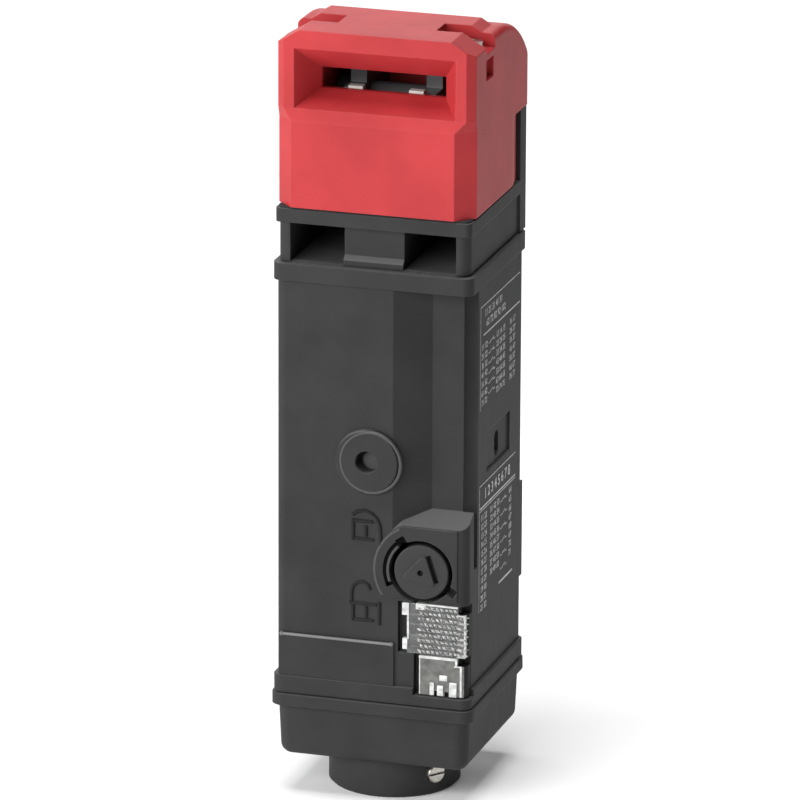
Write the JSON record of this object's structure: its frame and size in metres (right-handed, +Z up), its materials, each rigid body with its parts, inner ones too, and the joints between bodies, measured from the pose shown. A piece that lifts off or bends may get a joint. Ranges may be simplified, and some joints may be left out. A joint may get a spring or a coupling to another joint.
{
  "type": "guard-lock safety-door switch",
  "caption": "Slim door switch with a red head, funnel-shaped key slot, black body, release key, clear indicator window and a round conduit hub below.",
  "frame": {"origin": "centre of the conduit hub's mouth, at the bottom of the switch", "axes": "+Z up the body to the head, -Y out of the front with the key slot and the release key, +Y out of the flat mounting back, +X to the right seen from the front"},
  "size_m": [0.0506, 0.0471, 0.19],
  "materials": {
    "red_plastic": "fine matte moulding",
    "black_plastic": "fine matte moulding",
    "key_plastic": "fine matte moulding",
    "clear_plastic": "clear, with small prisms",
    "white_plastic": "smooth moulding",
    "cam_plastic": "smooth moulding",
    "carrier_plastic": "smooth moulding",
    "rod_plastic": "smooth moulding",
    "moulded_plastic": "moulded",
    "steel": "plain",
    "screw_steel": "bright plated",
    "contact_metal": "bright",
    "rubber": "dull",
    "coil_tape": "wound tape",
    "board": "coated",
    "led_resin": "clear resin"
  },
  "bodies": {
    "base": {"base_casing": "black_plastic", "conduit_hub": "black_plastic", "base_screws": "screw_steel", "base_gasket": "rubber", "hub_screw": "screw_steel", "main_case": "black_plastic", "rod_seals": "rubber", "indicator_lens": "clear_plastic", "lower_lens": "clear_plastic", "rear_cover": "black_plastic", "rear_cover_gasket": "rubber", "rear_cover_screws": "screw_steel", "neck_block": "black_plastic", "mount_bushes": "steel", "head_seal": "rubber", "head_housing": "red_plastic", "head_screws": "screw_steel", "spine_screws": "screw_steel", "key_guide": "white_plastic", "cam_shaft": "steel", "cam_carrier": "carrier_plastic", "door_contact_block": "moulded_plastic", "lock_contact_block": "moulded_plastic", "door_contacts": "contact_metal", "lock_contacts": "contact_metal", "rod_spring": "steel", "lock_spring": "steel", "core_guide": "contact_metal", "solenoid_coil": "coil_tape", "solenoid_yoke": "steel", "terminal_block": "moulded_plastic", "terminal_clamps": "screw_steel", "terminal_screws": "screw_steel", "led_board": "board", "indicator_leds": "led_resin"},
    "cam": {"operating_cam": "cam_plastic"},
    "rod": {"switch_rod": "rod_plastic", "door_bridge": "contact_metal"},
    "slider": {"lock_slider": "rod_plastic", "lock_bridge": "contact_metal", "solenoid_core": "steel"},
    "release": {"release_rotor": "key_plastic", "rotor_seal": "rubber", "rotor_clip": "steel"}
  },
  "joints": [
    {"name": "cam_turn", "type": "hinge", "parent": "base", "child": "cam", "pos_m": [0, 0.0045, 0.1685], "axis": [-1, 0, 0], "range_deg": [0, 50]},
    {"name": "rod_slide", "type": "slide", "parent": "base", "child": "rod", "axis": [0, 0, 1], "range_m": [-0.003, 0], "deforming": ["rod_spring"]},
    {"name": "lock_slide", "type": "slide", "parent": "base", "child": "slider", "axis": [0, 0, 1], "range_m": [0, 0.0035], "deforming": ["lock_spring"]},
    {"name": "release_turn", "type": "hinge", "parent": "base", "child": "release", "pos_m": [0.0125, -0.0198, 0.0596], "axis": [0, -1, 0], "range_deg": [0, 90]}
  ],
  "couplings": [
    {"joint": "cam_turn", "follows": "lock_slide", "rad_per_m": 249.33},
    {"joint": "rod_slide", "follows": "lock_slide", "ratio": -0.857}
  ]
}
